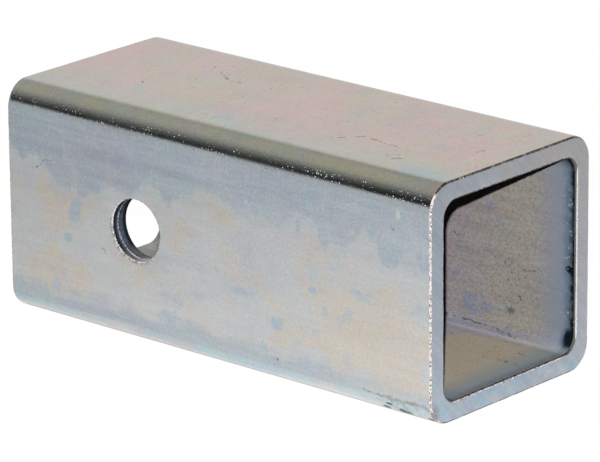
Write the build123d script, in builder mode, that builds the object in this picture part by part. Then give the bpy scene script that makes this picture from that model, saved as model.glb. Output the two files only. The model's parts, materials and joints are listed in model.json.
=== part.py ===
from build123d import *
import os

# Reducer sleeve for a tow hitch: one short length of welded square steel tube. Its outside slides into a
# 2-1/2 in receiver, its socket takes a 2 in shank, and one hitch pin goes through both side walls.
# Millimetres. The origin is where the pin's axis crosses the tube's axis. X runs along the pin, Y along the
# tube from the mouth at -Y to the end that goes into the receiver at +Y, and Z is up.

os.makedirs("parts", exist_ok=True)

# Tube section
OUTER_SIDE = 63.5  # across the outside flats, 2-1/2 in
WALL = 5.35  # leaves a 52.8 mm socket, sliding room round a 2 in shank
OUTER_CORNER = 7.1  # rolled corner outside
INNER_CORNER = 4.8  # rolled corner inside, tighter than the wall would leave it

# Scarfed seam: the shallow groove inside the top wall where the weld's flash was cut away
SEAM_WIDTH = 8.0
SEAM_DEPTH = 0.25

# Sawn length
LENGTH = 146.0  # 5-3/4 in

# Pin hole, punched from outside through each side wall
PIN = 15.875  # hitch pin, 5/8 in
PIN_PLAY = 0.825  # how much wider the hole is than the pin
PIN_TO_END = 46.0  # from the hole's centre to the end that goes into the receiver
LAND = 2.1  # smooth sheared land behind the rim
BREAKOUT = 0.2  # how far the torn rest of the hole's wall flares by the inner face

# Deburred edges
END_ROUND = 0.4  # outer edges of the two sawn ends
MOUTH_BREAK = 0.45  # inner edges of the two sawn ends
RIM_BREAK = 0.25  # outer rims of the pin hole

# Worked out from the sizes above
OUTER_FACE = OUTER_SIDE / 2
INNER_FACE = OUTER_FACE - WALL
SOCKET_SIDE = 2 * INNER_FACE
HOLE_RADIUS = (PIN + PIN_PLAY) / 2
LAND_START = OUTER_FACE - RIM_BREAK
LAND_END = LAND_START - LAND
RECEIVER_END = Plane.XZ.offset(-PIN_TO_END)

with BuildPart() as sleeve:
    # Tube: the rolled section, drawn at the receiver end and run to the mouth
    with BuildSketch(RECEIVER_END) as section:
        RectangleRounded(OUTER_SIDE, OUTER_SIDE, OUTER_CORNER)
        RectangleRounded(SOCKET_SIDE, SOCKET_SIDE, INNER_CORNER, mode=Mode.SUBTRACT)
    extrude(amount=LENGTH)

    # Sawn ends: rounded outside, chamfered round the socket
    for end in sleeve.faces().filter_by(Axis.Y):
        fillet(end.outer_wire().edges(), radius=END_ROUND)
    for end in sleeve.faces().filter_by(Axis.Y):
        chamfer(end.inner_wires().edges(), length=MOUTH_BREAK)

    # Scarfed seam: a hollow arc along the middle of the top wall's inner face
    with BuildSketch(RECEIVER_END) as seam:
        with BuildLine() as seam_outline:
            wall_line = Line((-SEAM_WIDTH / 2, INNER_FACE), (SEAM_WIDTH / 2, INNER_FACE))
            SagittaArc(wall_line @ 0, wall_line @ 1, SEAM_DEPTH)
        make_face()
    extrude(amount=LENGTH, mode=Mode.SUBTRACT)

    # Pin hole: broken rim, sheared land and flared breakout, the same in both side walls
    with BuildSketch(Plane.XY) as hole_profile:
        with BuildLine() as hole_outline:
            Polyline(
                (INNER_FACE, 0),
                (INNER_FACE, HOLE_RADIUS + BREAKOUT),
                (LAND_END, HOLE_RADIUS),
                (LAND_START, HOLE_RADIUS),
                (OUTER_FACE, HOLE_RADIUS + RIM_BREAK),
                (OUTER_FACE, 0),
                close=True,
            )
        make_face()
        mirror(about=Plane.YZ)
    revolve(axis=Axis.X, mode=Mode.SUBTRACT)

sleeve.part.label = "reducer_sleeve"
export_step(sleeve.part, "parts/reducer_sleeve.step")
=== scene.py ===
import json
import math

import bmesh
import bpy
from mathutils import Matrix, Vector, noise


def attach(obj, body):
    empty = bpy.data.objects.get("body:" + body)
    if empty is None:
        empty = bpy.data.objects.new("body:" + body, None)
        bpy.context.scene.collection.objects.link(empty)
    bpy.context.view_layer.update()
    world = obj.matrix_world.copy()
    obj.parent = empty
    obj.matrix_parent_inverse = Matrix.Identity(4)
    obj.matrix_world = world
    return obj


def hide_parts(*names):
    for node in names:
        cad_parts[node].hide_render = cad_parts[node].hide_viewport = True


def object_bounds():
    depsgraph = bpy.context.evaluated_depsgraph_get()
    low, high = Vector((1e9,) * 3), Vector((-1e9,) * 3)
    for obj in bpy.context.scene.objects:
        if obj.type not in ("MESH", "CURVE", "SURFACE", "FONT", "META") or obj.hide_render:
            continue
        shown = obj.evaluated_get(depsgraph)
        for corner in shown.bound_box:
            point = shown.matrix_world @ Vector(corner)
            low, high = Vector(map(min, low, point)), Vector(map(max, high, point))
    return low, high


# Reducer sleeve for a tow hitch: rolled and welded square tube, sawn, deburred, punched and zinc plated.
# Metres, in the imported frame: X along the pin hole, Y along the tube with the mouth at -Y, Z up.

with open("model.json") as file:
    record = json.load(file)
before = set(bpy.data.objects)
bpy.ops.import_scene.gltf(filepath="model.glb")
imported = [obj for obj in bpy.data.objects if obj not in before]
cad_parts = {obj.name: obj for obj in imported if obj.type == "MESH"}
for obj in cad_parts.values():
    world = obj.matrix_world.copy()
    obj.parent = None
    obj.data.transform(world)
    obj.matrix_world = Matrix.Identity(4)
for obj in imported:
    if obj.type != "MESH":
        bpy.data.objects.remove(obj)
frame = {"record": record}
CAD_LOW, CAD_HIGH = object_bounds()

MM = 0.001

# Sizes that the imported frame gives
OUTER_FACE = CAD_HIGH.x
MOUTH = CAD_LOW.y
RECEIVER_END = CAD_HIGH.y
FLOOR = CAD_LOW.z
LENGTH = RECEIVER_END - MOUTH
MIDDLE = (RECEIVER_END + MOUTH) / 2
TUBE_CENTRE = Vector((0, MIDDLE, 0))
PIN_HOLE = next(m for m in frame["record"]["mounts"] if m["name"] == "pin_hole")
HOLE_RADIUS = PIN_HOLE["dims"]["r_mm"] * MM

# Tube section
WALL = 5.35 * MM
INNER_FACE = OUTER_FACE - WALL
OUTER_CORNER = 7.1 * MM
INNER_CORNER = 4.8 * MM
SEAM_WIDTH = 8.0 * MM
SEAM_DEPTH = 0.25 * MM

# Edges
END_ROUND = 0.5 * MM
MOUTH_BREAK = 0.55 * MM
RIM_BREAK = 0.35 * MM
LAND = 2.1 * MM
BREAKOUT = 0.2 * MM
RIDGE = 0.30 * MM  # lip that the punch leaves at the end of the land
EDGE_MARGIN = 0.15 * MM  # flat strip kept beside a rounded edge, so that the flat shades flat
SHARP_ANGLE = 40.0  # degrees between two faces, past which their edge shades sharp
BURR = 0.06 * MM  # how far the deburred edges wander
FILED_COARSE = 170.0  # the file's waves in each metre
FILED_FINE = 420.0
GROUND_TURN = 218.0  # where the ground flat sits round the mouth's lower near corner, in degrees
GROUND_DEPTH = 0.55 * MM
GROUND_OUT = 0.75  # how much the ground flat faces outwards, and how much it faces the mouth's side
GROUND_FORWARD = 0.66

# Mesh density
CORNER_STEPS = 20
FLAT_CUTS = 48
RING_PITCH = 4.0 * MM
END_RINGS = [MOUTH_BREAK + EDGE_MARGIN] + [d * MM for d in (1.0, 1.6, 2.4, 3.6, 5.4, 8.0)]
HOLE_WINDOW = 12.5 * MM
HOLE_PITCH = 1.0 * MM
RIM_STEPS = 4
RIDGE_RING = RIM_STEPS + 4
END_STEPS = 4
MOUTH_STEPS = 2
TOUCHING = 1e-6  # points nearer than this are in one place
ON_OUTLINE = 0.02 * MM  # how near an edge has to be to the section's outline to lie on it

# Faces' materials, in slot order
SKIN, SAWN, EDGE, SOCKET, PUNCHED = range(5)

# Zinc and its passivation film, as linear reflectance; a few colours below also carry painted highlights,
# light and shade
FILM_NEUTRAL = (0.575, 0.590, 0.605, 1)
FILM_TAN = (0.648, 0.588, 0.512, 1)
FILM_PALE = (0.675, 0.680, 0.665, 1)
FILM_BLUE = (0.460, 0.545, 0.615, 1)
FILM_BLUE_GREY = (0.478, 0.545, 0.603, 1)
FILM_PURPLE_GREY = (0.510, 0.515, 0.590, 1)
FILM_SEA_GREY = (0.415, 0.490, 0.545, 1)
FILM_LOW_BLUE = (0.455, 0.515, 0.560, 1)
FILM_CORNER = (0.525, 0.540, 0.485, 1)
FILM_STRIPE = (0.515, 0.545, 0.545, 1)
FILM_GOLD = (0.600, 0.530, 0.410, 1)
FILM_CYAN = (0.490, 0.620, 0.670, 1)
FILM_CREAM = (0.680, 0.700, 0.685, 1)
FILM_WASH_LINE = (0.560, 0.655, 0.680, 1)
FILM_ROSE = (0.705, 0.522, 0.490, 1)
FILM_OLIVE = (0.615, 0.550, 0.465, 1)
FILM_TEAL = (0.510, 0.580, 0.535, 1)
FILM_STEEL = (0.460, 0.560, 0.575, 1)
FILM_CORNER_END = (0.490, 0.470, 0.445, 1)
FILM_WORN = (0.400, 0.465, 0.475, 1)
# also the painted shade in the drawn dents
NICK_AND_SHADE_DARK = (0.120, 0.125, 0.130, 1)
CHIP_BLACK = (0.030, 0.036, 0.036, 1)
FOLD_DARK = (0.090, 0.125, 0.125, 1)
# also painted highlights: the dents' lips, and glints just inside the mouth
SCUFF_AND_GLINT_WHITE = (0.820, 0.790, 0.750, 1)
DUST_WHITE = (0.820, 0.820, 0.800, 1)
SAWN_GREY = (0.420, 0.463, 0.523, 1)
SAWN_WARM = (0.545, 0.520, 0.526, 1)
SAWN_CYAN = (0.378, 0.503, 0.605, 1)
SAWN_PINK = (0.560, 0.525, 0.550, 1)
SAWN_TAN = (0.450, 0.420, 0.395, 1)
SAWN_BROWN = (0.300, 0.250, 0.225, 1)
# filed steel, also painted highlights and sparkle on edges and beside the mouth
EDGE_BRIGHT_AND_HIGHLIGHT = (0.930, 0.880, 0.870, 1)
EDGE_DULL = (0.240, 0.195, 0.195, 1)
# painted shade and painted dark reflection on edges
EDGE_PAINTED_SHADE = (0.120, 0.110, 0.105, 1)
SOCKET_GREY = (0.385, 0.358, 0.318, 1)
SOCKET_MAUVE = (0.375, 0.335, 0.340, 1)
SOCKET_OLIVE = (0.830, 0.725, 0.565, 1)
SOCKET_VIOLET = (0.265, 0.300, 0.415, 1)
SOCKET_LAVENDER = (0.390, 0.375, 0.445, 1)
SOCKET_LOW_LAVENDER = (0.700, 0.655, 0.710, 1)
# painted reflected light deep in the socket's far side
SOCKET_DEEP_LIGHT = (0.455, 0.490, 0.480, 1)
SOCKET_TAN = (0.356, 0.335, 0.297, 1)
SOCKET_BLUE = (0.280, 0.325, 0.425, 1)
SOCKET_LOW_BLUE = (0.500, 0.580, 0.630, 1)
# painted shade just inside the mouth, teal and then nearly black
SOCKET_TEAL_SHADE = (0.130, 0.190, 0.260, 1)
SOCKET_MOUTH_SHADE = (0.006, 0.014, 0.018, 1)
SOCKET_SPECK = (0.110, 0.105, 0.110, 1)
PUNCHED_STEEL = (0.215, 0.250, 0.345, 1)
# painted light on the lower part of the pin hole's wall
PUNCHED_LOW_LIGHT = (0.520, 0.540, 0.540, 1)
PUNCHED_DARK = (0.024, 0.036, 0.042, 1)
WHITE = (1, 1, 1, 1)
BLACK = (0, 0, 0, 1)

# Where the finishes change
PATCH_DEEP = 6 * MM  # how far a patch of film reaches into the wall
ROLL_LINE = 23.3 * MM  # height of the line that the rolls drew along the side walls
WASH_LINE = 10.8 * MM  # height at which the side walls' wash ends
WASH_HANG = 4.5 * MM  # how much lower a lobe of the wash hangs
SIDE_TURN = (30.4, 31.6)  # from the tube's middle in mm, where the rolled corners turn into the side walls


# Shader nodes


class Wire:
    """A node's output, which is added, multiplied and so on like a number."""

    def __init__(self, socket):
        self.socket = socket
        self.tree = socket.id_data

    def __add__(self, other):
        return math_node("ADD", self, other)

    def __sub__(self, other):
        return math_node("SUBTRACT", self, other)

    def __rsub__(self, other):
        return math_node("SUBTRACT", other, self)

    def __mul__(self, other):
        return math_node("MULTIPLY", self, other)

    def __truediv__(self, other):
        return math_node("DIVIDE", self, other)

    def __abs__(self):
        return math_node("ABSOLUTE", self)


def wires(sockets):
    """A node's outputs by name."""
    return {socket.name: Wire(socket) for socket in sockets}


def feed(made, feeds):
    """Feeds a node's inputs, each with a value or with another node's output."""
    for name, source in feeds.items():
        if isinstance(source, Wire):
            source.tree.links.new(source.socket, made.inputs[name])
        else:
            made.inputs[name].default_value = source


def place(kind, feeds, tree=None, **settings):
    """Adds a node, to the tree of what feeds it unless a tree is given, and sets it up."""
    if tree is None:
        tree = next(source.tree for source in feeds.values() if isinstance(source, Wire))
    made = tree.nodes.new(kind)
    for name, value in settings.items():
        setattr(made, name, value)
    feed(made, feeds)
    return made


def node(kind, feeds, out=0, **settings):
    """One output of a new node."""
    return Wire(place(kind, feeds, **settings).outputs[out])


def math_node(operation, a, b=0.0, clamp=False):
    """One Math node's result."""
    return node("ShaderNodeMath", {0: a, 1: b}, operation=operation, use_clamp=clamp)


def larger(a, b):
    """The larger of two levels."""
    return math_node("MAXIMUM", a, b)


def vector_math(operation, a, b=(0, 0, 0)):
    """One Vector Math node's result."""
    out = "Value" if operation in ("LENGTH", "DISTANCE", "DOT_PRODUCT") else "Vector"
    return node("ShaderNodeVectorMath", {0: a, 1: b}, out, operation=operation)


def scaled(vector, factor):
    """A vector made longer or shorter."""
    return node("ShaderNodeVectorMath", {0: vector, "Scale": factor}, "Vector", operation="SCALE")


def axes(vector):
    """A vector's X, Y and Z."""
    return [Wire(socket) for socket in place("ShaderNodeSeparateXYZ", {0: vector}).outputs]


def ease(value, low, high, to_low=0.0, to_high=1.0):
    """Eases from one level to another while a value goes from low to high."""
    feeds = {"Value": value, "From Min": low, "From Max": high, "To Min": to_low, "To Max": to_high}
    return node("ShaderNodeMapRange", feeds, "Result", interpolation_type="SMOOTHSTEP")


def fade(value, low, high, most=1.0):
    """Eases from a level to nothing while a value goes from low to high."""
    return ease(value, low, high, most, 0.0)


def over(length, low, high, to_low=0.0, to_high=1.0):
    """Eases from one level to another while a length goes from low to high, in mm."""
    return ease(length, low * MM, high * MM, to_low, to_high)


def under(length, low, high, most=1.0):
    """Eases from a level to nothing while a length goes from low to high, in mm."""
    return over(length, low, high, most, 0.0)


def centred(level, spread):
    """A level from 0 to 1 as a shift either way."""
    return (level - 0.5) * spread


def blend(share, low, high, mode="MIX"):
    """Mixes two colours by a share."""
    return node("ShaderNodeMix", {0: share, 6: low, 7: high}, 2, data_type="RGBA", blend_type=mode)


def coats(colour, *layers):
    """Lays other colours over a colour in turn, each by its share."""
    for share, paint in layers:
        colour = blend(share, colour, paint)
    return colour


def shade_by(colour, level, share):
    """Lightens and darkens a colour by a level round a half."""
    grey = node("ShaderNodeCombineColor", {0: level, 1: level, 2: level})
    return blend(share, colour, grey, "OVERLAY")


def cloud(vector, scale, detail=2.0, roughness=0.5, distortion=0.0, out="Fac"):
    """A noise texture's level, or its colour."""
    feeds = {
        "Vector": vector,
        "Scale": scale,
        "Detail": detail,
        "Roughness": roughness,
        "Distortion": distortion,
    }
    return node("ShaderNodeTexNoise", feeds, out)


def mapped(vector, scale=(1, 1, 1), turn=(0, 0, 0), shift=(0, 0, 0)):
    """Stretches, turns and shifts a pattern on the piece."""
    feeds = {"Vector": vector, "Location": shift, "Rotation": turn, "Scale": scale}
    return node("ShaderNodeMapping", feeds)


def light_path(tree):
    """What kind of ray it is that meets a surface."""
    return wires(tree.nodes.new("ShaderNodeLightPath").outputs)


# Effects that several finishes share


def start_group(name, inputs, outputs):
    """Starts a shader node group. Gives its inputs by name, and the node that its outputs are fed to."""
    tree = bpy.data.node_groups.new(name, "ShaderNodeTree")
    for label, value in {"Vector": (0, 0, 0), **inputs}.items():
        kind = "NodeSocketFloat" if isinstance(value, float) else "NodeSocketVector"
        tree.interface.new_socket(name=label, in_out="INPUT", socket_type=kind).default_value = value
    for label in outputs:
        kind = "NodeSocketColor" if label == "Tint" else "NodeSocketFloat"
        tree.interface.new_socket(name=label, in_out="OUTPUT", socket_type=kind)
    given = wires(tree.nodes.new("NodeGroupInput").outputs)
    return given, tree.nodes.new("NodeGroupOutput")


def film_group():
    """Passivation film: patches that have turned warm, cool or rosy, slow clouding and fine grain."""
    inputs = {"Patches per metre": 100.0, "Warm bias": 0.0, "Cool bias": 0.0}
    outputs = ("Warm", "Cool", "Rose", "Cloud", "Grain", "Tint")
    given, end = start_group("Passivation film", inputs, outputs)
    count = given["Patches per metre"]
    long_way = mapped(given["Vector"], scale=(1, 0.8, 1), turn=(0.09, 0, 0))
    for label, shift, share, low, high in (
        ("Warm", (3.1, 0.7, 1.9), 1.0, 0.50, 0.70),
        ("Cool", (8.4, 5.2, 2.6), 1.6, 0.53, 0.80),
        ("Rose", (1.3, 9.8, 4.4), 0.5, 0.34, 0.66),
        ("Cloud", (6.6, 2.5, 7.7), 0.45, 0.30, 0.70),
        ("Grain", (4.9, 3.3, 0.8), 13.0, 0.25, 0.75),
    ):
        level = cloud(mapped(long_way, shift=shift), count * share, 5.0, 0.6, 0.3)
        if label in ("Warm", "Cool"):
            level = level + given[label + " bias"] * 0.24
        feed(end, {label: ease(level, low, high)})
    feed(end, {"Tint": cloud(long_way, count * 2.4, 5.0, 0.65, out="Color")})
    return end.id_data


def patch_group():
    """One soft patch round a centre."""
    inputs = {"Centre": (0, 0, 0), "Reach": (0.01, 0.01, 0.01)}
    given, end = start_group("Soft patch", inputs, ("Mask",))
    away = vector_math("SUBTRACT", given["Vector"], given["Centre"])
    reach = vector_math("LENGTH", vector_math("DIVIDE", away, given["Reach"]))
    feed(end, {"Mask": fade(reach, 0.3, 1.25)})
    return end.id_data


def scratch_group():
    """One scratch: a thin wandering line between two points, with gaps in it."""
    inputs = {"From": (0, 0, 0), "To": (0.01, 0, 0), "Width": 0.0003, "Gaps": 1.0}
    given, end = start_group("Scratch", inputs, ("Mask",))
    here = given["Vector"]
    wobble = vector_math("SUBTRACT", cloud(here, 330.0, 3.0, out="Color"), (0.5, 0.5, 0.5))
    point = vector_math("ADD", here, vector_math("MULTIPLY", wobble, (0.003, 0.003, 0.003)))
    run = vector_math("SUBTRACT", given["To"], given["From"])
    away = vector_math("SUBTRACT", point, given["From"])
    along = vector_math("DOT_PRODUCT", away, run)
    whole = vector_math("DOT_PRODUCT", run, run)
    foot = scaled(run, math_node("DIVIDE", along, whole, clamp=True))
    off_line = vector_math("DISTANCE", away, foot) / given["Width"]
    lost = fade(cloud(here, 420.0, 3.0), 0.36, 0.52)
    feed(end, {"Mask": fade(off_line, 0.2, 1.0) * (1.0 - lost * given["Gaps"])})
    return end.id_data


def pit_group():
    """Pits and nicks: small sparse hollows, and how deep they are."""
    inputs = {"Pits per metre": 300.0, "Size": 0.15, "Bend": 0.0006}
    given, end = start_group("Pits and nicks", inputs, ("Mask", "Height"))
    here = given["Vector"]
    bent = vector_math("ADD", here, scaled(cloud(here, 900.0, 1.0, out="Color"), given["Bend"]))
    feeds = {"Vector": bent, "Scale": given["Pits per metre"], "Randomness": 1.0}
    cells = wires(place("ShaderNodeTexVoronoi", feeds, feature="F1").outputs)
    chance = node("ShaderNodeSeparateColor", {0: cells["Color"]})
    inside = given["Size"] * ease(chance, 0.55, 1.0) - cells["Distance"]
    feed(end, {"Mask": ease(inside, -0.02, 0.06), "Height": fade(inside, 0.0, given["Size"])})
    return end.id_data


def line_group():
    """Tool lines: fine streaks that run along the pattern's own Y."""
    given, end = start_group("Tool lines", {"Lines per metre": 1500.0, "Length": 0.03}, ("Level",))
    narrow = node("ShaderNodeCombineXYZ", {"X": 1.0, "Y": given["Length"], "Z": 1.0})
    drawn = vector_math("MULTIPLY", given["Vector"], narrow)
    count = given["Lines per metre"]
    level = cloud(drawn, count, 3.0, 0.6) * 0.6 + cloud(drawn, count * 0.22) * 0.4
    feed(end, {"Level": ease(level, 0.32, 0.68)})
    return end.id_data


FILM = film_group()
PATCH = patch_group()
SCRATCH = scratch_group()
PITS = pit_group()
LINES = line_group()


def fed(group, feeds):
    """Places a node group, and gives its outputs by name."""
    return wires(place("ShaderNodeGroup", feeds, node_tree=group).outputs)


def pitted(here, per_metre, size, bend=0.0006):
    """Pits and nicks on a finish."""
    return fed(PITS, {"Vector": here, "Pits per metre": per_metre, "Size": size, "Bend": bend})


def lined(here, per_metre, length):
    """Tool lines on a finish."""
    return fed(LINES, {"Vector": here, "Lines per metre": per_metre, "Length": length})["Level"]


def patches(here, spots):
    """Adds up soft patches, each with its centre, reach and strength."""
    total = 0.0
    for centre, reach, strength in spots:
        mask = fed(PATCH, {"Vector": here, "Centre": centre, "Reach": reach})["Mask"]
        total = mask * strength + total
    return total


def scratched(here, rows, gaps=1.0):
    """The strongest mask of several scratches."""
    level = 0.0
    for first, last, width in rows:
        ends = {"Vector": here, "From": first, "To": last, "Width": width, "Gaps": gaps}
        level = larger(fed(SCRATCH, ends)["Mask"], level)
    return level


# Places on the sleeve


def mm(*lengths):
    """A point or a reach, from mm."""
    return tuple(length * MM for length in lengths)


def side_spot(y, z):
    """A point on the near side wall, from mm."""
    return (-OUTER_FACE, y * MM, z * MM)


def top_spot(y, x):
    """A point on the top wall, from mm."""
    return (x * MM, y * MM, OUTER_FACE)


def corner_spot(y, turn):
    """A point on the lower near corner, from mm and from degrees round it."""
    flat = OUTER_FACE - OUTER_CORNER
    a = math.radians(turn)
    return (-flat - OUTER_CORNER * math.cos(a), y * MM, -flat - OUTER_CORNER * math.sin(a))


def far_spot(y, z):
    """A point on the socket's far wall, from mm."""
    return (INNER_FACE, y * MM, z * MM)


def socket_floor_spot(y, x):
    """A point on the socket's bottom wall, from mm."""
    return (x * MM, y * MM, -INNER_FACE)


def on_upright(spot, rows):
    """Turns rows of patches on an upright wall into centres, reaches and strengths."""
    return [(spot(y, z), (PATCH_DEEP, ry * MM, rz * MM), s) for y, z, ry, rz, s in rows]


def on_top(rows):
    """Turns rows of top wall patches into centres, reaches and strengths."""
    return [(top_spot(y, x), (rx * MM, ry * MM, PATCH_DEEP), s) for y, x, ry, rx, s in rows]


def on_corner(rows):
    """Turns rows of patches on the lower near corner into centres, reaches and strengths."""
    return [(corner_spot(y, turn), mm(r, ry, r), s) for y, turn, ry, r, s in rows]


def strokes(spot, rows):
    """Turns rows of scratches into points and widths."""
    return [(spot(a, b), spot(c, d), width * MM) for a, b, c, d, width in rows]


def from_pin(here):
    """How far a place is from the pin hole's axis."""
    return vector_math("LENGTH", vector_math("MULTIPLY", here, (0, 1, 1)))


# Finishes


def start_material(name):
    """A new material, its shader and the piece's own coordinates."""
    made = bpy.data.materials.new(name)
    made.use_nodes = True
    nodes = made.node_tree.nodes
    here = Wire(nodes.new("ShaderNodeTexCoord").outputs["Object"])
    return made, nodes["Principled BSDF"], here


def finish_material(shader, colour, roughness, height, bump):
    """Feeds the shader with its colour, roughness and bump."""
    relief = node("ShaderNodeBump", {"Strength": 1.0, "Distance": bump, "Height": height})
    feed(shader, {"Base Color": colour, "Roughness": roughness, "Normal": relief})


# Patches of film on the near side wall: centre along Y and Z, reach along Y and Z, in mm, and strength
SIDE_WARM = (
    (26, 4, 11, 10, 1.6),
    (29, -18, 14, 7, 1.1),
    (-31, 11, 6, 5, 0.9),
    (-20, 2, 9, 6, 0.3),
    (-76, -14, 27, 13, 0.9),
    (-64, 8, 8, 5, 0.7),
    (-88, -5, 8, 4, 0.7),
    (-87, -20, 8, 5, 0.6),
)
SIDE_COOL = (
    (21.2, 2.6, 2.2, 2.6, 2.0),
    (22.4, 0.2, 2.3, 2.6, 2.0),
    (24.5, -7, 2.2, 1.8, 1.5),
    (29.5, -21.3, 2, 2.4, 1.0),
    (-12, -22, 10, 3, 0.7),
    (-14, -16, 6, 3, 0.7),
    (-41, -8.6, 6, 2.2, 0.9),
    (-36.5, -9.6, 4, 1.8, 0.7),
    (-49, -14.8, 3.2, 2.4, 1.5),
    (-44.5, -22, 2, 2.4, 1.0),
    (-61, -3.4, 1.6, 1.6, 0.7),
    (-60.3, -9.3, 1.6, 2.2, 0.9),
    (-65.3, -8, 1.8, 2.2, 0.9),
    (-62.6, -14.3, 2.2, 2.2, 0.8),
    (-76, -1.2, 4, 1.8, 0.9),
    (-92, 14, 7, 6, 1.0),
)
# A scuff on that wall, then the lobes of its wash: rows in the same order
SIDE_SCUFF = ((-89.5, 22.7, 0.9, 1.6, 1.0),)
SIDE_WASH = (
    (-56.4, 11.5, 1.3, 4, 1.0),
    (-64.4, 11, 2.2, 4.5, 1.0),
    (-86.8, 12, 4.2, 6, 1.8),
    (-97.7, 12, 2.6, 6, 1.3),
)
# Patches of film on the top wall: centre along Y and X, reach along Y and X, in mm, and strength
TOP_COOL = (
    (-20.6, -19.3, 4, 3, 1.8),
    (-10.6, -15.7, 3, 3, 1.2),
    (-27, -23, 4, 2, 1.3),
    (-68, 4.4, 3, 2.4, 0.9),
    (-80, -3.8, 3.6, 3, 1.1),
    (-91, -23.4, 13, 4.5, 1.3),
    (15, -12, 6, 5, 0.6),
)
# Scratches on the top wall: from and to, along Y and X, and width, in mm
TOP_SCRATCHES = (
    (14.1, 14.4, 6, 9.5, 0.35),
    (6, 9.5, 2.1, 7.1, 0.5),
    (2.1, 7.1, -2.2, 7, 0.4),
    (-52.7, -16.2, -58.9, -8.5, 0.25),
    (-58.9, -8.5, -67.7, -10.1, 0.35),
    (-67.7, -10.1, -72, -10.3, 0.22),
    (-73.9, -16.9, -75.9, -15.3, 0.4),
    (-74.2, -18.2, -77.3, -16.2, 0.35),
    (-76.4, -19.3, -78.7, -17.4, 0.45),
    (-90, 1, -90, -3.5, 0.4),
    (19, -7.8, 18.2, -8.6, 0.6),
)
# Scratches on the near side wall: from and to, along Y and Z, and width, in mm
SIDE_SCRATCHES = (
    (37, 10, 32, 13.2, 0.3),
    (32, 13.2, 28, 13.8, 0.3),
    (12, -7, 11.2, -8, 0.4),
    (-48.8, -24.1, -49.3, -24.6, 0.5),
    (-93.6, -0.5, -93.8, -2.0, 0.35),
    (-87.6, 19.2, -88.1, 17.6, 0.35),
)
# A golden patch on the upper near corner: centre, reach and strength
GOLDEN = [((-OUTER_FACE, -76 * MM, OUTER_FACE), mm(9, 13, 9), 0.6)]
# Fold along the lower near corner by the mouth: from and to, along Y and round the corner in degrees,
# and width in mm
CORNER_FOLD = (
    (-78, 10, -86, 12, 0.6),
    (-86, 12, -92, 11, 0.8),
    (-92, 11, -99, 15, 0.9),
)
# Chips below that fold, then a worn patch and paler patches of that corner: along Y and round the corner
# in degrees, reach along Y and round the corner in mm, and strength
CORNER_CHIPS = (
    (-84.0, 46, 1.6, 1.0, 1.0),
    (-89.6, 45, 1.8, 1.3, 1.0),
    (-91.6, 46, 1.2, 0.9, 1.0),
    (-98.4, 48, 1.2, 0.9, 1.0),
    (-85.6, 30, 1.2, 0.4, 1.0),
)
CORNER_WORN = ((-91, 32, 9, 6, 1.0),)
CORNER_PALE = (
    (-72, 30, 11, 8, 0.5),
    (24, 30, 26, 8, 0.45),
)


def side_film(here, along, up, film):
    """The side walls' film: pale below a ragged wash line, blue grey above it, blue by the lower corner."""
    slow = cloud(mapped(here, scale=(1, 1, 0.3)), 30.0)
    curtain = cloud(mapped(here, scale=(1, 1, 0.36)), 120.0, 4.0, 0.55)
    streak = cloud(mapped(here, scale=(1, 0.1, 1), turn=(0.05, 0, 0)), 330.0, 4.0, 0.6)
    band = coats(
        FILM_BLUE_GREY,
        (ease(slow, 0.40, 0.60), FILM_PURPLE_GREY),
        (over(along, -30, 45, 0.0, 0.85), FILM_SEA_GREY),
        (film["Warm"] * 0.3, FILM_NEUTRAL),
    )
    band = shade_by(band, streak, 0.22)
    edge = up + centred(slow, 24 * MM) + centred(curtain, 18 * MM) + centred(streak, 8 * MM)
    edge = patches(here, on_upright(side_spot, SIDE_WASH)) * WASH_HANG + edge
    washed = over(edge, 10.2, 12.7, 0.0, 0.94)
    drip = fade(abs(curtain - 0.52), 0.0, 0.016, 0.3)
    low_edge = up + centred(curtain, 7 * MM) + centred(streak, 6 * MM)
    return coats(
        FILM_NEUTRAL,
        (film["Cloud"] * 0.5, FILM_PALE),
        (film["Warm"] * 0.8, FILM_TAN),
        (film["Cool"] * 0.9, FILM_BLUE),
        (over(edge, 5.0, 10.2, 0.0, 0.55), FILM_NEUTRAL),
        (washed, band),
        (under(abs(edge - WASH_LINE), 0.2, 1.1, 0.32), FILM_WASH_LINE),
        (drip * washed, FILM_PALE),
        (under(low_edge, -24.6, -20.8, 0.85) * over(along, -88, -62, 0.5, 1.0), FILM_LOW_BLUE),
        (under(abs(up - ROLL_LINE), 0.05, 0.25, 0.10) * ease(streak, 0.40, 0.60), NICK_AND_SHADE_DARK),
    )


def top_film(across, film):
    """The top and bottom walls' film: rose and olive clouds with a few blue spots, teal by the near side."""
    return coats(
        FILM_OLIVE,
        (film["Rose"], FILM_ROSE),
        (film["Warm"] * 0.3, FILM_TEAL),
        (under(across, -26, -6, 0.5), FILM_TEAL),
        (film["Cool"] * 0.7, FILM_STEEL),
    )


def upper_corner_film(here, along, sideways, film):
    """The upper rolled corners' film: olive and gold, greyer in the stripe towards the side walls."""
    golden = math_node("ADD", film["Warm"] * 0.4, patches(here, GOLDEN), clamp=True)
    return coats(
        FILM_CORNER,
        (golden, FILM_GOLD),
        (under(along, -99, -86, 0.8), FILM_CORNER_END),
        (film["Cool"] * 0.5, FILM_TEAL),
        (over(sideways, 29.2, 30.6), FILM_STRIPE),
    )


def lower_corner_film(here, up, film):
    """The lower rolled corners' film: pale cyan and cream."""
    creamy = over(up, -30.5, -27.4, 0.6, -0.6) + patches(here, on_corner(CORNER_PALE))
    creamy = math_node("ADD", film["Rose"], creamy, clamp=True)
    return coats(FILM_CYAN, (creamy, FILM_CREAM), (film["Warm"] * 0.4, FILM_ROSE))


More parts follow.
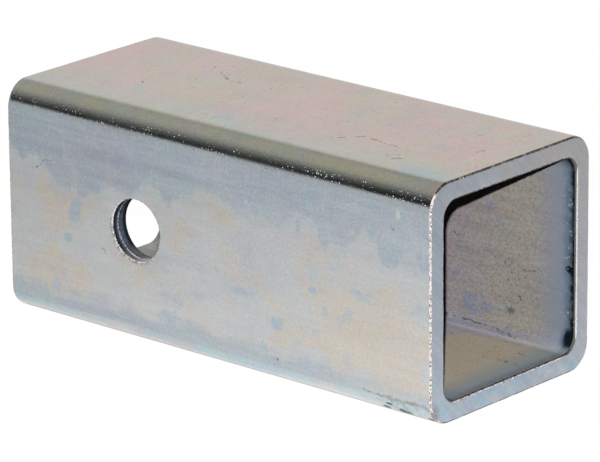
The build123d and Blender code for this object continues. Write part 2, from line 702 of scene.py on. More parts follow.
def skin_film(here):
    """The outside's film, with the patches that the near side wall and the top wall show."""
    feeds = {
        "Vector": mapped(here, scale=(0.5, 1, 1), shift=(-0.5 * OUTER_FACE, 0, 0)),
        "Patches per metre": 105.0,
        "Warm bias": patches(here, on_upright(side_spot, SIDE_WARM)),
        "Cool bias": patches(here, on_upright(side_spot, SIDE_COOL) + on_top(TOP_COOL)),
    }
    return fed(FILM, feeds)


def skin_colour(here, film):
    """The outside's colour: flat walls, then the rolled corners, then wear, rolling lines and grain."""
    across, along, up = axes(here)
    sideways = abs(across)
    above = over(sideways, 24.6, 26.2) * over(up, 25.6, 27.5)
    below = under(up + centred(film["Grain"], 0.5 * MM), -27.2, -26.6)
    colour = coats(
        top_film(across, film),
        (over(sideways, *SIDE_TURN), side_film(here, along, up, film)),
        (above * 0.9, upper_corner_film(here, along, sideways, film)),
        (below * 0.95, lower_corner_film(here, up, film)),
    )
    colour = blend(over(sideways, *SIDE_TURN, 0.20, 0.13), colour, film["Tint"], "OVERLAY")
    worn = patches(here, on_corner(CORNER_WORN)) * below
    flaked = worn * ease(cloud(here, 520.0, 4.0, 0.6), 0.42, 0.56)
    colour = blend(flaked * 0.8, colour, FILM_WORN)
    colour = shade_by(colour, lined(here, 900.0, 0.06), over(sideways, *SIDE_TURN, 0.02, 0.05))
    return shade_by(colour, film["Grain"], 0.06)


def burred(here, colour):
    """Burr that the punch threw up round the pin hole, most of it low down on the receiver's side."""
    _, along, up = axes(here)
    past_rim = from_pin(here) - (HOLE_RADIUS + RIM_BREAK)
    near_hole = under(past_rim, 0.2, 0.9) * over(along - up, -3, 9)
    torn = ease(cloud(here, 1300.0, 3.0), 0.48, 0.56) * near_hole
    flecks = ease(cloud(here, 1900.0), 0.55, 0.62) * near_hole
    return coats(colour, (torn * 0.6, NICK_AND_SHADE_DARK), (flecks * 0.8, SCUFF_AND_GLINT_WHITE))


def salt_specks(here, rolled, sideways):
    """White specks of zinc salt, thickest low on the upper rolled corners."""
    clusters = ease(cloud(here, 130.0, 3.0), 0.38, 0.62, 0.25, 1.0)
    size = over(sideways, 29.8, 30.9) * rolled * clusters * 0.34 + rolled * 0.11
    return pitted(here, 2300.0, size, bend=0.0001)["Mask"] * rolled


def skin_material():
    """Rolled outside: zinc with patches of film, an orange peel grain, rolling lines, pits and scratches."""
    made, shader, here = start_material("Plated rolled skin")
    across, _, up = axes(here)
    sideways = abs(across)
    film = skin_film(here)
    crystals = cloud(mapped(here, turn=(0.6, 0.5, 0.4)), 1500.0, 3.0, 0.7)
    colour = shade_by(skin_colour(here, film), crystals, 0.24)

    # Marks: dimples, drawn dents darkened with painted shade and with a painted highlight on their lip,
    # scratches, the fold, its chips, a scuff and the burr
    pits = pitted(here, 900.0, 0.30)
    drawn = mapped(here, scale=(1, 0.42, 1), turn=(0.3, 0, 0))
    dents = pitted(drawn, 560.0, 0.19)
    lip_highlights = pitted(mapped(drawn, shift=mm(0, 0.1, -0.4)), 560.0, 0.19)
    marks = scratched(here, strokes(top_spot, TOP_SCRATCHES) + strokes(side_spot, SIDE_SCRATCHES))
    fold = scratched(here, strokes(corner_spot, CORNER_FOLD), gaps=0.5)
    chips = patches(here, on_corner(CORNER_CHIPS)) + centred(cloud(here, 1200.0, 3.0), 0.8)
    colour = coats(
        colour,
        (pits["Mask"] * 0.10, NICK_AND_SHADE_DARK),
        # Painted highlight on each dent's lip, and painted shade in the dent itself
        (lip_highlights["Mask"] * 0.28, SCUFF_AND_GLINT_WHITE),
        (dents["Mask"] * over(sideways, *SIDE_TURN, 0.12, 0.26), NICK_AND_SHADE_DARK),
        (marks * 0.65, NICK_AND_SHADE_DARK),
        (fold * 0.5, FOLD_DARK),
        (ease(chips, 0.36, 0.52), CHIP_BLACK),
        (patches(here, on_upright(side_spot, SIDE_SCUFF)) * 0.6, SCUFF_AND_GLINT_WHITE),
    )
    colour = burred(here, colour)

    # The salt is dull where the plating mirrors
    rolled = over(sideways, 25.2, 27.0) * over(up, 25.8, 26.8)
    salt = salt_specks(here, rolled, sideways)
    colour = blend(salt, colour, DUST_WHITE)
    feed(shader, {"Metallic": 1.0 - salt})

    # Relief, calmer on the upper rolled corners but for the crystals in their stripe
    rough = ease(film["Cloud"], 0.0, 1.0, 0.14, 0.20) + marks * 0.25 + salt * 0.4
    height = centred(cloud(here, 1100.0, 3.0, 0.6), 0.9) - marks
    height = height + (pits["Height"] - 1.0) + (dents["Height"] - 1.0) * 1.4
    stripe = rolled * over(sideways, 28.5, 30.0) * under(sideways, 30.9, 31.2)
    height = height * ease(rolled, 0.0, 1.0, 1.0, 0.2) + stripe * centred(crystals, 1.0)
    finish_material(shader, colour, rough, height, 0.06 * MM)
    return made


# The worn spot at the mouth's lower near corner: centre, reach and strength
SAWN_WORN = [((-30.6 * MM, MOUTH, -28.2 * MM), mm(2.4, 2.0, 3.0), 0.9)]


def sawn_material():
    """Sawn ends: sanded across the corners, then plated."""
    made, shader, here = start_material("Sanded sawn end")
    across, _, up = axes(here)
    film = fed(FILM, {"Vector": here, "Patches per metre": 240.0})
    turned = mapped(here, turn=(math.radians(90), 0, 0))
    sanding = lined(mapped(turned, turn=(0, 0, math.radians(45))), 1700.0, 0.06)
    low = over(up, -30, -22, 1.0, 0.25)
    colour = coats(
        SAWN_GREY,
        (over(across + up, -20, 55), SAWN_WARM),
        (over(across, 0, 20) * over(up, 15, 28) * 0.35, SAWN_TAN),
        (low * film["Rose"], SAWN_CYAN),
        (low * film["Warm"] * 0.7, SAWN_PINK),
    )
    colour = blend(0.10, colour, film["Tint"], "OVERLAY")
    colour = shade_by(colour, sanding, 0.06)
    colour = shade_by(colour, film["Grain"], 0.08)

    # A painted highlight beside the mouth's far side, grainy like a filed strip, and the worn spot
    past_inner = across - INNER_FACE
    far_edge_highlight = under(past_inner, 0.60, 0.85) * over(past_inner, -0.8, 0)
    beside_mouth = under(abs(up) - INNER_FACE, -5.0, -3.5)
    filed = ease(cloud(here, 2100.0, 4.0, 0.65), 0.38, 0.54)
    colour = coats(
        colour,
        (far_edge_highlight * beside_mouth * filed, EDGE_BRIGHT_AND_HIGHLIGHT),
        (patches(here, SAWN_WORN) * filed, SAWN_BROWN),
    )
    feed(shader, {"Metallic": 1.0})
    finish_material(shader, colour, ease(sanding, 0.0, 1.0, 0.34, 0.24), sanding, 0.010 * MM)
    return made


def edge_material():
    """Deburred edges: filed bright and grainy at the sides with painted sparkle, painted dark reflection top
    and bottom.
    """
    made, shader, here = start_material("Deburred edge")
    across, _, up = axes(here)
    past_inner = larger(abs(across), abs(up)) - INNER_FACE
    inner = under(past_inner, 0.9, 1.6)
    # Filed grains are bright steel with painted sparkle; on the mouth's far inner rim more of them make a
    # painted highlight
    far_rim = inner * over(across - INNER_FACE, -2.4, -0.8)
    grains = ease(far_rim * 0.12 + cloud(here, 2100.0, 4.0, 0.65), 0.40, 0.52)
    # Painted dark reflection along the outer top and bottom edges, painted shade on the mouth's inner top
    # edge, broken by painted glints
    top = over(up - OUTER_FACE, -2.4, -1.0)
    bottom = under(up + OUTER_FACE, 0.6, 1.2)
    inner_top = inner * over(up - INNER_FACE, -1.2, -0.3)
    dark = larger(larger(top, bottom), inner_top)
    uneven = ease(cloud(here, 420.0, 4.0, 0.65), 0.38, 0.52, 0.55, 0.97)
    glints = ease(cloud(here, 1700.0), 0.60, 0.66, 1.0, 0.1)

    # The mouth's inner edge has painted shade towards the socket. The ridge in the pin hole is steel, with a
    # painted highlight low down.
    past_hole = from_pin(here) - HOLE_RADIUS
    shaded = under(past_inner, 0.14, 0.32, 0.95) * over(past_hole, 2, 3)
    ridge = under(past_hole, 0.02, 0.10)
    low_ridge_highlight = ridge * under(up, -8.0, -6.4, 0.9)
    colour = coats(
        EDGE_DULL,
        (grains, EDGE_BRIGHT_AND_HIGHLIGHT),
        (dark * uneven * glints, EDGE_PAINTED_SHADE),
        (shaded, EDGE_PAINTED_SHADE),
        (ridge * 0.55, PUNCHED_STEEL),
        (low_ridge_highlight, EDGE_BRIGHT_AND_HIGHLIGHT),
    )
    frosted = larger(low_ridge_highlight, grains * fade(dark, 0.0, 0.5))
    feed(shader, {"Metallic": ease(frosted, 0.0, 1.0, 1.0, 0.25)})
    rough = ease(dark, 0.0, 1.0, 0.40, 0.28)
    finish_material(shader, colour, rough, cloud(here, 2300.0, 3.0, 0.6), 0.16 * MM)
    return made


# Patches on the socket's far wall: centre along Y and Z, reach along Y and Z, in mm, and strength
SOCKET_COOL = (
    (-64.5, -20, 3.2, 3.2, 1.3),
    (-70.8, -20.6, 2.6, 1.6, 1.1),
    (-67, -23, 3, 1.6, 0.9),
    (-62.3, -4.5, 2.2, 1.4, 0.8),
    (-59.5, -13.4, 3, 2, 0.7),
    (-60.5, -17.2, 2, 1.8, 0.8),
    (-57, -8, 3, 4, 0.5),
)
SOCKET_SPECKLED = ((-77, -14, 8, 13, 1.0),)
SOCKET_BLOTS = ((-78.7, -20, 1.5, 1.1, 1.0),)
# Places where the painted black shade just inside the mouth reaches deeper: centre, reach and how much deeper
MOUTH_SHADE_BLOTS = [
    (mm(26.4, -98, -4.6), mm(4, 1.8, 1.1), 1.8 * MM),
    (mm(24.6, -98, -23.4), mm(4, 3.5, 3), 2.2 * MM),
]
# The fold along the socket's lower far corner: from and to, and width
SOCKET_FOLD = [
    (mm(25.0, -54, -25.0), mm(25.0, -68, -25.0), 0.5 * MM),
    (mm(25.0, -68, -25.0), mm(23.6, -83, -26.1), 0.4 * MM),
]
# Scratches on the socket's bottom wall: from and to, along Y and X, and width, in mm
SOCKET_SCRATCHES = (
    (-86.8, 9.1, -91.7, 8.2, 0.6),
    (-94.2, 8.6, -97, 7.8, 0.6),
    (-89.8, 16, -92.3, 16, 0.45),
)
# Scratches on the socket's far wall: from and to, along Y and Z, and width, in mm
FAR_WALL_SCRATCHES = (
    (-83, -8.2, -87.9, -7.6, 0.4),
    (-58.3, -2.2, -60.8, -2.8, 0.4),
)


def mouth_tint_and_shade(here, colour, pits):
    """By the mouth: a blue tint, then painted shade going teal, then nearly black, less so on the bottom
    wall.
    """
    across, along, up = axes(here)
    to_end = along - MOUTH
    ragged = centred(cloud(here, 420.0, 5.0, 0.7), 3.6 * MM)
    bottom = under(up + INNER_FACE, 0.1, 2.0)
    near_end = to_end * (bottom * 0.2 + 1.0) + ragged - patches(here, MOUTH_SHADE_BLOTS)
    blue_reach = bottom * (-3 * MM) + 16 * MM
    near_side = bottom * under(across, -22, -13, 0.3)
    # Painted shade: teal, then nearly black towards the mouth, and teal low by the near side
    teal = under(near_end, 1.6, 5.2, 0.95) * ease(bottom, 0.0, 1.0, 1.0, 0.45)
    black = under(near_end, 0.7, 2.5) * ease(bottom, 0.0, 1.0, 1.0, 0.12)
    return coats(
        colour,
        (fade(to_end + ragged, 3 * MM, blue_reach, 0.9), blend(bottom, SOCKET_BLUE, SOCKET_LOW_BLUE)),
        (larger(teal, near_side * under(to_end, 4, 9)), SOCKET_TEAL_SHADE),
        (black, SOCKET_MOUTH_SHADE),
        # Painted glints on the pits just inside the mouth
        (pits["Mask"] * under(to_end, 1, 6, 0.6), SCUFF_AND_GLINT_WHITE),
    )


def socket_material():
    """Socket: duller plating with dark specks, olive on the bottom wall, painted light deep in, painted shade
    in the mouth.
    """
    made, shader, here = start_material("Plated socket")
    across, along, up = axes(here)
    cool = patches(here, on_upright(far_spot, SOCKET_COOL))
    film = fed(FILM, {"Vector": here, "Patches per metre": 130.0, "Cool bias": cool})
    low_corner = blend(under(up, -26.4, -25.8), SOCKET_LAVENDER, SOCKET_LOW_LAVENDER)
    # Deep in, a tan tone on the near side and, on the far side, a lighter grey green that is partly painted
    # reflected light
    deep_tone_and_light = blend(over(across, 13, 21), SOCKET_TAN, SOCKET_DEEP_LIGHT)
    floor_edge = along * 0.48 + across + centred(film["Cloud"], 4 * MM)
    olive = under(floor_edge, -19, -15) * under(up, -26.2, -25.2) * over(across, 18, 23.5, 1.0, 0.25)
    colour = coats(
        SOCKET_GREY,
        (over(along, -80, -58), SOCKET_MAUVE),
        (under(up, -26.2, -23.5), low_corner),
        (film["Cool"] * 0.8, SOCKET_VIOLET),
        (over(along, -50, -15), deep_tone_and_light),
        (olive, SOCKET_OLIVE),
    )
    colour = blend(0.12, colour, film["Tint"], "OVERLAY")
    colour = shade_by(colour, lined(here, 700.0, 0.08), 0.10)
    colour = shade_by(colour, film["Grain"], 0.20)

    # Dark specks, blots, the fold and scratches
    pits = pitted(here, 850.0, 0.34)
    fine = pitted(here, 1500.0, 0.36)
    speckled = math_node("ADD", patches(here, on_upright(far_spot, SOCKET_SPECKLED)), 0.22, clamp=True)
    blots = patches(here, on_upright(far_spot, SOCKET_BLOTS))
    rows = strokes(socket_floor_spot, SOCKET_SCRATCHES) + strokes(far_spot, FAR_WALL_SCRATCHES)
    marks = scratched(here, SOCKET_FOLD + rows)
    for share in (pits["Mask"] * speckled, fine["Mask"] * 0.45, blots * 0.75, marks * 0.85):
        colour = blend(share, colour, SOCKET_SPECK)
    colour = mouth_tint_and_shade(here, colour, pits)

    # The plating is brightest by the receiver end. To bounced rays the socket is painted mostly black:
    # painted shade, which keeps the socket dark.
    path = light_path(here.tree)
    bounced = larger(path["Is Diffuse Ray"], path["Is Glossy Ray"])
    colour = blend(bounced * 0.9, colour, BLACK)
    feed(shader, {"Metallic": over(along, -45, -10, 0.22, 1.0), "Specular IOR Level": 0.1})
    rough = ease(film["Grain"], 0.0, 1.0, 0.34, 0.46)
    finish_material(shader, colour, rough, pits["Height"], 0.05 * MM)
    return made


def punched_material():
    """Pin hole's wall: a smooth sheared land, then the torn breakout, with painted light on its lower part.
    """
    made, shader, here = start_material("Punched hole wall")
    across, _, up = axes(here)
    depth = OUTER_FACE - abs(across)
    shear = lined(mapped(here, turn=(0, 0, math.radians(90))), 1300.0, 0.12)
    torn = ease(depth, RIM_BREAK + LAND * 1.35, WALL - 0.8 * MM)
    behind_rim = fade(depth, RIM_BREAK + LAND * 0.2, RIM_BREAK + LAND * 0.8, 0.95)
    colour = coats(PUNCHED_STEEL, (torn, PUNCHED_DARK), (behind_rim, PUNCHED_DARK))
    colour = shade_by(colour, shear, 0.35)
    # Painted light on the lower part of the wall
    colour = blend(under(up, -8.5, -5.5, 0.6), colour, PUNCHED_LOW_LIGHT)
    feed(shader, {"Metallic": 0.5})
    finish_material(shader, colour, ease(torn, 0.0, 1.0, 0.30, 0.5), shear, 0.02 * MM)
    return made


# The sleeve's mesh

BEVEL = {"offset_type": "OFFSET", "profile": 0.5, "affect": "EDGES", "material": -1, "clamp_overlap": False}


def ring_places():
    """Where the skins are cut across, along Y: close together at the ends and beside the pin hole."""
    places = [MOUTH + d for d in END_RINGS] + [RECEIVER_END - d for d in END_RINGS]
    beside_hole = round(2 * HOLE_WINDOW / HOLE_PITCH)
    places += [-HOLE_WINDOW + i * HOLE_PITCH for i in range(beside_hole + 1)]
    for low, high in ((MOUTH + END_RINGS[-1], -HOLE_WINDOW), (HOLE_WINDOW, RECEIVER_END - END_RINGS[-1])):
        steps = round((high - low) / RING_PITCH)
        places += [low + (high - low) * i / steps for i in range(1, steps)]
    return places


def cut(bm, through, facing):
    """Cuts a mesh's faces along a plane."""
    everything = bm.verts[:] + bm.edges[:] + bm.faces[:]
    bmesh.ops.bisect_plane(bm, geom=everything, dist=1e-7, plane_co=through, plane_no=facing)


def tube_skin(face, corner, slot):
    """One skin of the tube's wall, open at both ends: flats, rolled corners and windows for the pin hole."""
    bm = bmesh.new()
    box = bmesh.ops.create_cube(bm, size=1.0)["verts"]
    bmesh.ops.scale(bm, vec=(2 * face, LENGTH, 2 * face), verts=box)
    bmesh.ops.translate(bm, vec=TUBE_CENTRE, verts=box)
    long_edges = [e for e in bm.edges if e.calc_length() > LENGTH * 0.9]
    bmesh.ops.bevel(bm, geom=long_edges, offset=corner, segments=CORNER_STEPS, **BEVEL)
    bm.normal_update()
    caps = [f for f in bm.faces if abs(f.normal.y) > 0.9]
    bmesh.ops.delete(bm, geom=caps, context="FACES_ONLY")
    flat_ends = [e for e in bm.edges if face < e.calc_length() < LENGTH * 0.9]
    bmesh.ops.subdivide_edges(bm, edges=flat_ends, cuts=FLAT_CUTS, use_grid_fill=True)
    for place_y in ring_places():
        cut(bm, (0, place_y, 0), (0, 1, 0))
    for height in (-HOLE_WINDOW, HOLE_WINDOW):
        cut(bm, (0, 0, height), (0, 0, 1))
    windows = []
    for f in bm.faces:
        middle = f.calc_center_median()
        if max(abs(middle.y), abs(middle.z)) < HOLE_WINDOW:
            windows.append(f)
    bmesh.ops.delete(bm, geom=windows, context="FACES")
    for f in bm.faces:
        f.material_index = slot
    return bm


def join(bm, other):
    """Adds another mesh to this one."""
    held = bpy.data.meshes.new("held")
    other.to_mesh(held)
    bm.from_mesh(held)
    bpy.data.meshes.remove(held)
    other.free()


def open_loop(bm, inside):
    """The open edges whose two ends are both inside a place."""
    return [e for e in bm.edges if e.is_boundary and all(inside(v.co) for v in e.verts)]


def hole_rings():
    """The pin hole's rings from the outer flat to the inner: distance from the tube's axis, and radius."""
    rim = HOLE_RADIUS + RIM_BREAK
    rings = [(OUTER_FACE, rim + EDGE_MARGIN)]
    for i in range(RIM_STEPS + 1):
        turn = math.pi / 2 * i / RIM_STEPS
        rings.append((OUTER_FACE - RIM_BREAK * (1 - math.cos(turn)), rim - RIM_BREAK * math.sin(turn)))
    land_end = OUTER_FACE - RIM_BREAK - LAND
    return rings + [
        (land_end + LAND / 2, HOLE_RADIUS),
        (land_end + 2 * RIDGE, HOLE_RADIUS),
        (land_end + RIDGE, HOLE_RADIUS - RIDGE / 2),
        (land_end, HOLE_RADIUS + BREAKOUT * 0.25),
        ((land_end + INNER_FACE) / 2, HOLE_RADIUS + BREAKOUT * 0.6),
        (INNER_FACE + EDGE_MARGIN, HOLE_RADIUS + BREAKOUT * 0.9),
        (INNER_FACE, HOLE_RADIUS + BREAKOUT),
        (INNER_FACE, HOLE_RADIUS + BREAKOUT + EDGE_MARGIN),
    ]


def ring_slot(i):
    """The material of the faces that lead to one of the pin hole's rings."""
    if i == 1:
        return SKIN
    if i <= 1 + RIM_STEPS or i == RIDGE_RING:
        return EDGE
    return PUNCHED


def punch_hole(bm, side):
    """Joins the two skins through one side wall, ring by ring."""

    def window(face):
        reach = HOLE_WINDOW + EDGE_MARGIN

        def inside(p):
            return abs(p.x - side * face) < EDGE_MARGIN and abs(p.y) < reach and abs(p.z) < reach

        return open_loop(bm, inside)

    outer = window(OUTER_FACE)
    inner = window(INNER_FACE)
    rings = hole_rings()
    distance, radius = rings[0]
    turned = Matrix.Translation((side * distance, 0, 0)) @ Matrix.Rotation(math.pi / 2, 4, "Y")
    circle = bmesh.ops.create_circle(bm, cap_ends=False, radius=radius, segments=len(outer), matrix=turned)
    loop = list({e for v in circle["verts"] for e in v.link_edges})
    for f in bmesh.ops.bridge_loops(bm, edges=outer + loop)["faces"]:
        f.material_index = SKIN
    for i, (next_distance, next_radius) in enumerate(rings[1:], start=1):
        made = bmesh.ops.extrude_edge_only(bm, edges=loop)["geom"]
        ring = [g for g in made if isinstance(g, bmesh.types.BMVert)]
        loop = [g for g in made if isinstance(g, bmesh.types.BMEdge) and all(v in ring for v in g.verts)]
        grow = next_radius / radius
        bmesh.ops.scale(bm, vec=(1, grow, grow), verts=ring)
        bmesh.ops.translate(bm, vec=(side * (next_distance - distance), 0, 0), verts=ring)
        for f in {f for e in loop for f in e.link_faces}:
            f.material_index = ring_slot(i)
        distance, radius = next_distance, next_radius
    for f in bmesh.ops.bridge_loops(bm, edges=loop + inner)["faces"]:
        f.material_index = SOCKET


def section_gap(point, face, corner):
    """How far a point is from the outline of a rounded square in the XZ plane."""
    flat = face - corner
    x = max(abs(point.x) - flat, 0)
    z = max(abs(point.z) - flat, 0)
    if x == 0 or z == 0:
        return max(abs(point.x), abs(point.z)) - face
    return math.hypot(x, z) - corner


def on_section(edge, face, corner):
    """Whether an edge lies on a rounded square's outline."""
    return all(abs(section_gap(v.co, face, corner)) < ON_OUTLINE for v in edge.verts)


def saw_end(bm, place_y):
    """Closes the wall at one end and breaks its outer and inner edges."""
    rim = open_loop(bm, lambda p: abs(p.y - place_y) < EDGE_MARGIN)
    for f in bmesh.ops.bridge_loops(bm, edges=rim)["faces"]:
        f.material_index = SAWN
    at_end = [e for e in bm.edges if all(abs(v.co.y - place_y) < TOUCHING for v in e.verts)]
    outer = [e for e in at_end if on_section(e, OUTER_FACE, OUTER_CORNER)]
    inner = [e for e in at_end if on_section(e, INNER_FACE, INNER_CORNER)]
    broken = []
    for edges, size, steps in ((outer, END_ROUND, END_STEPS), (inner, MOUTH_BREAK, MOUTH_STEPS)):
        made = bmesh.ops.bevel(bm, geom=edges, offset=size, segments=steps, **BEVEL)
        broken += made["faces"]
    for f in broken:
        f.material_index = EDGE
    sawn = [f for f in bm.faces if f.material_index == SAWN]
    flat = [f for f in sawn if abs(f.calc_center_median().y - place_y) < TOUCHING]
    bmesh.ops.inset_region(bm, faces=flat, thickness=EDGE_MARGIN, use_even_offset=True, use_boundary=True)


def scarf_seam(bm):
    """Hollows the shallow groove along the middle of the top wall's inner face."""
    for v in bm.verts:
        if abs(v.co.z - INNER_FACE) < TOUCHING and abs(v.co.x) < SEAM_WIDTH / 2:
            v.co.z += SEAM_DEPTH * (1 - (2 * v.co.x / SEAM_WIDTH) ** 2)


def wander_edges(bm):
    """Files the edges of the ends and rims unevenly, always into the metal."""
    bm.normal_update()
    filed = {v for f in bm.faces if f.material_index == EDGE for v in f.verts}
    for v in filed:
        coarse = noise.noise(v.co * FILED_COARSE)
        fine = noise.noise(v.co * FILED_FINE + Vector((5.1, 1.7, 3.3)))
        depth = max(0.0, 0.35 + 0.9 * coarse + 0.5 * fine)
        v.co -= v.normal * BURR * depth


def grind_corner(bm):
    """Grinds a small flat on the mouth's lower near corner."""
    turn = math.radians(GROUND_TURN)
    flat = OUTER_FACE - OUTER_CORNER
    outwards = Vector((math.cos(turn), 0, math.sin(turn)))
    tip = Vector((-flat, MOUTH, -flat)) + outwards * OUTER_CORNER
    facing = (outwards * GROUND_OUT - Vector((0, GROUND_FORWARD, 0))).normalized()
    plane = tip - facing * GROUND_DEPTH
    ground = set()
    for v in bm.verts:
        proud = (v.co - plane).dot(facing)
        if proud > 0:
            v.co -= facing * proud
            ground.add(v)
    for f in bm.faces:
        if all(v in ground for v in f.verts):
            f.material_index = SAWN


def set_out(name, data):
    """Adds an object to the scene."""
    made = bpy.data.objects.new(name, data)
    bpy.context.scene.collection.objects.link(made)
    return made


def make_sleeve():
    """The whole tube as one mesh, with a material slot for each of its finishes."""
    bm = tube_skin(OUTER_FACE, OUTER_CORNER, SKIN)
    socket = tube_skin(INNER_FACE, INNER_CORNER, SOCKET)
    bmesh.ops.reverse_faces(socket, faces=socket.faces[:])
    join(bm, socket)
    for side in (-1, 1):
        punch_hole(bm, side)
    for place_y in (MOUTH, RECEIVER_END):
        saw_end(bm, place_y)
    scarf_seam(bm)
    bmesh.ops.remove_doubles(bm, verts=bm.verts[:], dist=TOUCHING)
    bmesh.ops.recalc_face_normals(bm, faces=bm.faces[:])
    wander_edges(bm)
    grind_corner(bm)
    for f in bm.faces:
        f.smooth = True
    mesh = bpy.data.meshes.new("sleeve")
    bm.to_mesh(mesh)
    bm.free()
    for made in (skin_material(), sawn_material(), edge_material(), socket_material(), punched_material()):
        mesh.materials.append(made)
    mesh.set_sharp_from_angle(angle=math.radians(SHARP_ANGLE))
    return set_out("sleeve", mesh)


# Studio. Azimuths are in degrees round from the mouth's side, and elevations in degrees.

FLOOR_SIZE = 30.0
FLOOR_GAP = 0.02 * MM
POOL_CENTRE = (-60 * MM, -100 * MM, 0.0)  # where the floor is brightest
POOL_BRIGHT = 1.045
POOL_FADE = 1.64  # how much the floor's brightness falls in each metre
POOL_DIM = 0.68
FLOOR_WHITE = 0.985  # the floor's own brightness to the camera, before the flash adds to it
FLOOR_SHADE = (0.04, 0.04, 0.04, 1)  # what the floor throws back of the flash, so that shadows show
UNDER_DIM = 0.58  # what is left of the floor's brightness under the sleeve

SKY_LEFT_TO_RIGHT = (-0.8, 0.7)  # over which the backdrop changes
SKY_LOW_LEFT = 0.66
SKY_LOW_RIGHT = 0.74
SKY_DARK = 0.03
SKY_SOFTBOX = 0.52
SKY_BESIDE = 0.50  # the room on the near side, which the top wall mirrors to the far side
SKY_BESIDE_BACK = (0.15, 0.42)  # where that room ends, towards the back and towards the right
SKY_BESIDE_RIGHT = (-0.50, -0.15)
SKY_EDGE = 0.334  # height of the backdrop's upper edge, and how it rises to the right and to the back
SKY_EDGE_RIGHT = 0.330
SKY_EDGE_BACK = 0.095
SKY_EDGE_SOFT_LEFT = 0.035  # how soft that edge is
SKY_EDGE_SOFT_RIGHT = 0.18
SOFTBOX_AZIMUTH = 175.0
SOFTBOX_ELEVATION = 55.0
SOFTBOX_INNER = 12.0
SOFTBOX_OUTER = 56.0
SOFTBOX_COLOUR = (1.0, 0.99, 0.92, 1)
SKY_FILL = 0.022  # soft light that reaches what doesn't mirror

FLASH_AZIMUTH = -49.0
FLASH_ELEVATION = 20.0
FLASH_DISTANCE = 1.2
FLASH_SIZE = 0.012
FLASH_POWER = 16.0

CAMERA_AZIMUTH = -48.592
CAMERA_ELEVATION = 18.018
CAMERA_ROLL = -0.501
CAMERA_DISTANCE = 1.29625
CAMERA_RIGHT = 1.557 * MM  # how far the camera's axis passes beside the tube's middle
CAMERA_UP = -2.313 * MM
CAMERA_LENS = 297.06
CAMERA_SENSOR = 36.0
CAMERA_NEAREST = 0.01
CAMERA_FARTHEST = 100.0


def heading(azimuth, elevation):
    """The direction from the tube's middle to a place round it."""
    a = math.radians(azimuth)
    e = math.radians(elevation)
    return Vector((math.sin(a) * math.cos(e), -math.cos(a) * math.cos(e), math.sin(e)))


def mirrored(path):
    """Whether a ray comes from something that mirrors or that is clear."""
    return larger(path["Is Glossy Ray"], path["Is Transmission Ray"])


def glow(tree, strength):
    """A plain white glow."""
    return Wire(place("ShaderNodeEmission", {"Color": WHITE, "Strength": strength}, tree).outputs[0])


def floor_brightness(here):
    """How bright the floor is in the metal: brightest beside the mouth, and dim under the sleeve."""
    flat = vector_math("MULTIPLY", here, (1, 1, 0))
    away = vector_math("DISTANCE", flat, POOL_CENTRE)
    across, along, _ = axes(here)
    beneath = under(abs(across) - OUTER_FACE, -5.25, -2.75)
    beneath = beneath * under(abs(along - MIDDLE) - LENGTH / 2, -2, 0)
    return larger(POOL_BRIGHT - away * POOL_FADE, POOL_DIM) * ease(beneath, 0.0, 1.0, 1.0, UNDER_DIM)


def make_floor():
    """A pale floor, white to the camera but for the sleeve's faint shadow, and brightest beside the mouth."""
    bm = bmesh.new()
    bmesh.ops.create_grid(bm, x_segments=1, y_segments=1, size=FLOOR_SIZE / 2)
    bmesh.ops.translate(bm, vec=(0, 0, FLOOR - FLOOR_GAP), verts=bm.verts[:])
    mesh = bpy.data.meshes.new("floor")
    bm.to_mesh(mesh)
    bm.free()
    made = bpy.data.materials.new("Pale floor")
    made.use_nodes = True
    tree = made.node_tree
    tree.nodes.clear()
    here = Wire(tree.nodes.new("ShaderNodeTexCoord").outputs["Object"])
    path = light_path(tree)
    dull = Wire(place("ShaderNodeBsdfDiffuse", {"Color": FLOOR_SHADE}, tree).outputs[0])
    seen = node("ShaderNodeAddShader", {0: glow(tree, FLOOR_WHITE), 1: dull})
    shown = node("ShaderNodeMixShader", {0: path["Is Camera Ray"], 1: glow(tree, SKY_FILL), 2: seen})
    pool = glow(tree, floor_brightness(here))
    shown = node("ShaderNodeMixShader", {0: mirrored(path), 1: shown, 2: pool})
    place("ShaderNodeOutputMaterial", {"Surface": shown})
    mesh.materials.append(made)
    return set_out("floor", mesh)


def mix_level(share, low, high):
    """Mixes two levels by a share."""
    return node("ShaderNodeMix", {0: share, 2: low, 3: high}, data_type="FLOAT")


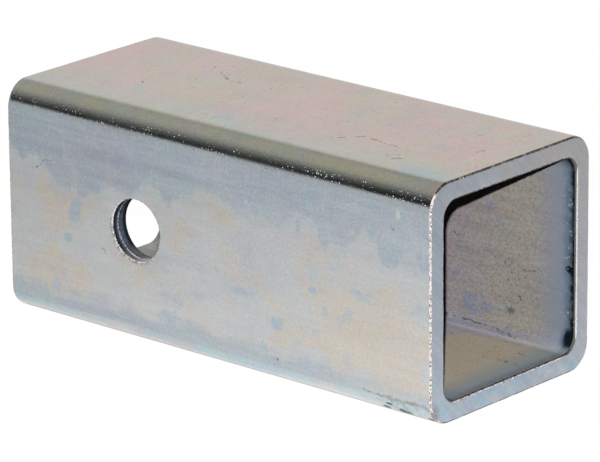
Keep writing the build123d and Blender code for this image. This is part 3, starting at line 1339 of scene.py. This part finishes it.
def make_world():
    """White to the camera. Metal sees a pale backdrop low down, a soft box overhead, a dim room between."""
    world = bpy.data.worlds.new("studio")
    bpy.context.scene.world = world
    world.use_nodes = True
    tree = world.node_tree
    tree.nodes.clear()
    ray = Wire(tree.nodes.new("ShaderNodeTexCoord").outputs["Generated"])
    path = light_path(tree)
    across, along, up = axes(ray)
    aim = vector_math("DOT_PRODUCT", ray, heading(SOFTBOX_AZIMUTH, SOFTBOX_ELEVATION))
    reach = (math.radians(SOFTBOX_INNER), math.radians(SOFTBOX_OUTER))
    box = ease(math_node("ARCCOSINE", aim), *reach, SKY_SOFTBOX, SKY_DARK)
    beside = fade(along, *SKY_BESIDE_BACK) * fade(across, *SKY_BESIDE_RIGHT)
    box = larger(box, beside * SKY_BESIDE)
    backdrop = ease(across, *SKY_LEFT_TO_RIGHT, SKY_LOW_LEFT, SKY_LOW_RIGHT)
    edge = across * SKY_EDGE_RIGHT + SKY_EDGE + along * SKY_EDGE_BACK
    soft = ease(across, *SKY_LEFT_TO_RIGHT, SKY_EDGE_SOFT_LEFT, SKY_EDGE_SOFT_RIGHT)
    low = fade((up - edge) / soft, -1.0, 1.0)
    level = mix_level(mirrored(path), SKY_FILL, mix_level(low, box, backdrop))
    level = mix_level(path["Is Camera Ray"], level, 1.0)
    feeds = {"Color": blend(low, SOFTBOX_COLOUR, WHITE), "Strength": level}
    place("ShaderNodeOutputWorld", {"Surface": node("ShaderNodeBackground", feeds)})


def make_flash():
    """A small lamp just above the camera, for the dull socket and filed edges. Metal doesn't mirror it."""
    lamp = bpy.data.lights.new("flash", "AREA")
    lamp.shape = "DISK"
    lamp.size = FLASH_SIZE
    lamp.energy = FLASH_POWER
    flash = set_out("flash", lamp)
    towards = heading(FLASH_AZIMUTH, FLASH_ELEVATION)
    flash.location = TUBE_CENTRE + towards * FLASH_DISTANCE
    flash.rotation_euler = towards.to_track_quat("Z", "Y").to_euler()
    flash.visible_glossy = False


def make_camera():
    """The camera that sees the sleeve as the photograph does."""
    back = heading(CAMERA_AZIMUTH, CAMERA_ELEVATION)
    roll = math.radians(CAMERA_ROLL)
    level_right = (-back).cross(Vector((0, 0, 1))).normalized()
    level_up = level_right.cross(-back)
    right = level_right * math.cos(roll) + level_up * math.sin(roll)
    up = level_up * math.cos(roll) - level_right * math.sin(roll)
    stand = TUBE_CENTRE + back * CAMERA_DISTANCE + right * CAMERA_RIGHT + up * CAMERA_UP
    turned = Matrix((right, up, back)).transposed().to_4x4()
    data = bpy.data.cameras.new("camera")
    data.lens = CAMERA_LENS
    data.sensor_width = CAMERA_SENSOR
    data.clip_start = CAMERA_NEAREST
    data.clip_end = CAMERA_FARTHEST
    camera = set_out("camera", data)
    camera.matrix_world = Matrix.Translation(stand) @ turned
    bpy.context.scene.camera = camera


sleeve = make_sleeve()
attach(sleeve, "root")
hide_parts("reducer_sleeve")

floor = make_floor()
make_world()
make_flash()
make_camera()
bpy.context.scene.view_settings.view_transform = "Standard"
